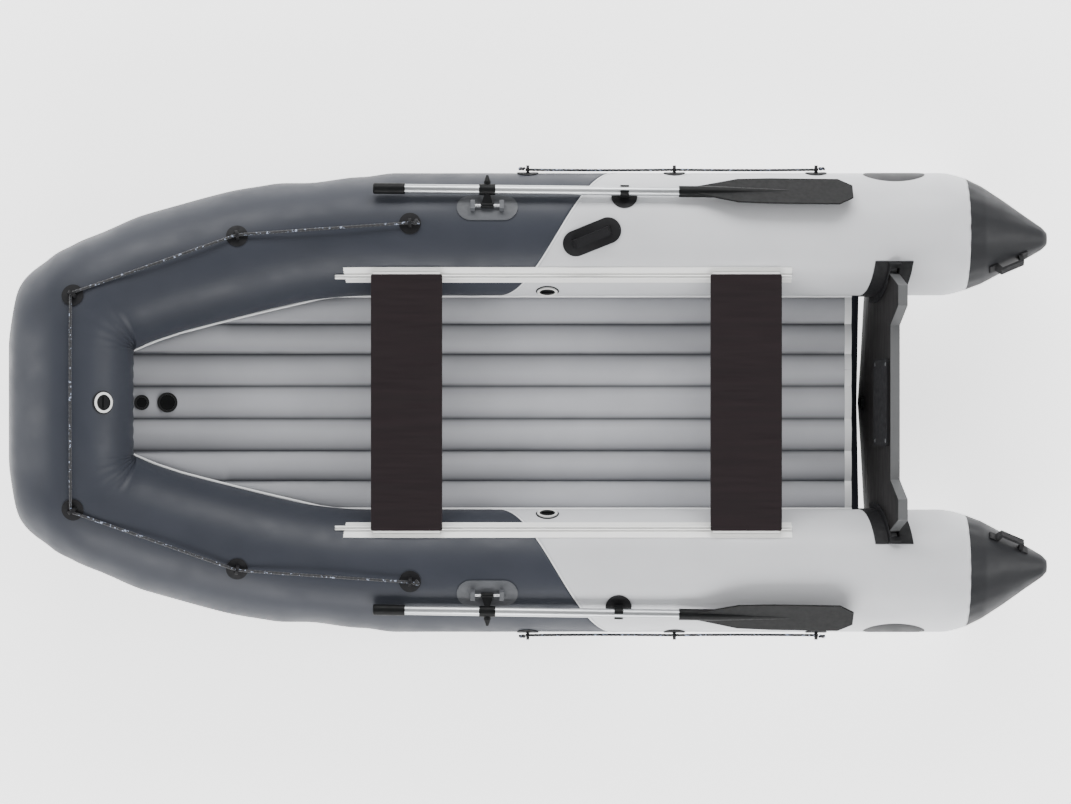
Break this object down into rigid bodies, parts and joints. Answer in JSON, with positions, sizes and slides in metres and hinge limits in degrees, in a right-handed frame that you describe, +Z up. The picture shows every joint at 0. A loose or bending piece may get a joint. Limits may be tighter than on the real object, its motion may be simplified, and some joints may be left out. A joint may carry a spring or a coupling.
{
  "type": "inflatable dinghy",
  "caption": "Inflatable dinghy with a U-shaped tube tapering into stern cones, an inflated lobed floor, sliding bench seats, folding rowlocks with oars, grab lines and a transom board.",
  "frame": {"origin": "middle of the boat's bounding box in plan, on the level that the tubes and keel rest on", "axes": "+X aft from bow to stern, +Y to starboard, +Z up"},
  "size_m": [3.365, 1.5478, 0.5635],
  "materials": {
    "tube_dark": "satin coated fabric, blue-grey, fine woven grain under the coating",
    "tube_light": "satin coated fabric, light grey",
    "floor_fabric": "satin coated fabric, light grey, welded seams",
    "cone_dark": "satin coated fabric, dark grey",
    "welt_light": "smooth light bead",
    "trim_grey": "smooth grey moulding",
    "moulded_black": "moulded black rubber, slightly textured",
    "moulded_grey": "moulded grey rubber with a lighter rim",
    "rail_plastic": "smooth extruded white plastic",
    "seat_plywood": "painted plywood, dark, low sheen",
    "transom_plywood": "dark coated plywood",
    "pad_plastic": "moulded plastic with a fine grain",
    "valve_plastic": "moulded light plastic",
    "valve_cap_black": "moulded black plastic",
    "black_plastic": "moulded black plastic, low sheen",
    "oar_aluminium": "drawn and anodised aluminium tube",
    "steel": "stainless steel",
    "rope": "braided cord, black with blue-white flecks"
  },
  "bodies": {
    "hull": {"bottom_skin_aft": "floor_fabric", "bottom_skin_bow": "floor_fabric", "bow_grab_line": "rope", "carry_handle": "moulded_black", "chamber_bulkheads": "tube_light", "drain_socket": "black_plastic", "floor_end_binding": "trim_grey", "floor_end_wall": "floor_fabric", "floor_top_aft": "floor_fabric", "floor_top_bow": "floor_fabric", "floor_webs": "floor_fabric", "floor_welts": "welt_light", "grab_line_eyes": "moulded_black", "grab_line_knots": "rope", "keel_strip": "moulded_black", "motor_pad_screws": "steel", "motor_pads": "pad_plastic", "oar_clip_bases": "moulded_black", "oar_clip_jaws": "black_plastic", "rowlock_bars": "steel", "rowlock_bases": "moulded_grey", "seat_rails": "rail_plastic", "side_grab_line_port": "rope", "side_grab_line_starboard": "rope", "skin_patches": "cone_dark", "stern_cones": "cone_dark", "stern_handles": "moulded_black", "transom_board": "transom_plywood", "transom_holders": "moulded_black", "transom_trim": "trim_grey", "tube_bow_centre": "tube_dark", "tube_bow_corners": "tube_dark", "tube_shoulders": "tube_dark", "tube_sides_dark": "tube_dark", "tube_sides_light": "tube_light", "valve_bodies": "valve_plastic"},
    "front_seat": {"front_seat_board": "seat_plywood", "front_seat_end_profiles": "rail_plastic", "front_seat_screws": "steel"},
    "rear_seat": {"rear_seat_board": "seat_plywood", "rear_seat_end_profiles": "rail_plastic", "rear_seat_screws": "steel"},
    "clasp_starboard": {"rowlock_clasp_starboard": "black_plastic", "rowlock_pin_starboard": "black_plastic"},
    "oar_starboard": {"oar_shaft_starboard": "oar_aluminium", "oar_grip_starboard": "black_plastic", "oar_blade_starboard": "black_plastic", "oar_collar_starboard": "black_plastic"},
    "clasp_port": {"rowlock_clasp_port": "black_plastic", "rowlock_pin_port": "black_plastic"},
    "oar_port": {"oar_shaft_port": "oar_aluminium", "oar_grip_port": "black_plastic", "oar_blade_port": "black_plastic", "oar_collar_port": "black_plastic"},
    "drain_plug": {"drain_plug": "black_plastic"},
    "side_valve_cap_starboard": {"side_valve_cap_starboard": "valve_cap_black"},
    "side_valve_cap_port": {"side_valve_cap_port": "valve_cap_black"},
    "bow_valve_cap": {"bow_valve_cap": "valve_cap_black"},
    "floor_valve_cap": {"floor_valve_cap": "valve_cap_black"},
    "relief_valve_cap": {"relief_valve_cap": "valve_cap_black"}
  },
  "joints": [
    {"name": "front_seat_slide", "type": "slide", "parent": "hull", "child": "front_seat", "axis": [1, 0, 0], "range_m": [-0.06, 0.4]},
    {"name": "rear_seat_slide", "type": "slide", "parent": "hull", "child": "rear_seat", "axis": [1, 0, 0], "range_m": [-0.4, 0.03]},
    {"name": "clasp_fold_starboard", "type": "hinge", "parent": "hull", "child": "clasp_starboard", "pos_m": [-0.138, 0.6344, 0.39883], "axis": [1, 0, 0], "range_deg": [0, 88], "deforming": ["oar_clip_jaws"]},
    {"name": "oar_swing_starboard", "type": "hinge", "parent": "clasp_starboard", "child": "oar_starboard", "pos_m": [-0.138, 0.68581, 0.39105], "axis": [0, 0.9887, -0.1496], "range_deg": [-3, 0], "deforming": ["oar_clip_jaws"]},
    {"name": "clasp_fold_port", "type": "hinge", "parent": "hull", "child": "clasp_port", "pos_m": [-0.138, -0.62032, 0.40423], "axis": [-1, 0, 0], "range_deg": [0, 94.6], "deforming": ["oar_clip_jaws"]},
    {"name": "oar_swing_port", "type": "hinge", "parent": "clasp_port", "child": "oar_port", "pos_m": [-0.138, -0.67215, 0.40006], "axis": [0, -0.9968, -0.0803], "range_deg": [0, 2], "deforming": ["oar_clip_jaws"]},
    {"name": "drain_plug_turn", "type": "hinge", "parent": "hull", "child": "drain_plug", "pos_m": [1.0988, 0, 0.066], "axis": [-0.9806, 0, 0.1961], "range_deg": [0, 90]},
    {"name": "side_valve_turn_starboard", "type": "hinge", "parent": "hull", "child": "side_valve_cap_starboard", "pos_m": [0.056, 0.36206, 0.2684], "axis": [0, -0.9397, 0.342], "range_deg": [0, 90]},
    {"name": "side_valve_turn_port", "type": "hinge", "parent": "hull", "child": "side_valve_cap_port", "pos_m": [0.056, -0.36206, 0.2684], "axis": [0, 0.9397, 0.342], "range_deg": [0, 90]},
    {"name": "bow_valve_turn", "type": "hinge", "parent": "hull", "child": "bow_valve_cap", "pos_m": [-1.36075, 0, 0.50867], "axis": [0.6088, 0, 0.7934], "range_deg": [0, 90]},
    {"name": "floor_valve_turn", "type": "hinge", "parent": "hull", "child": "floor_valve_cap", "pos_m": [-1.186, 0, 0.211], "axis": [0.2187, 0, 0.9758], "range_deg": [0, 90]},
    {"name": "relief_valve_turn", "type": "hinge", "parent": "hull", "child": "relief_valve_cap", "pos_m": [-1.268, 0, 0.23082], "axis": [0.2513, 0, 0.9679], "range_deg": [0, 90]}
  ]
}
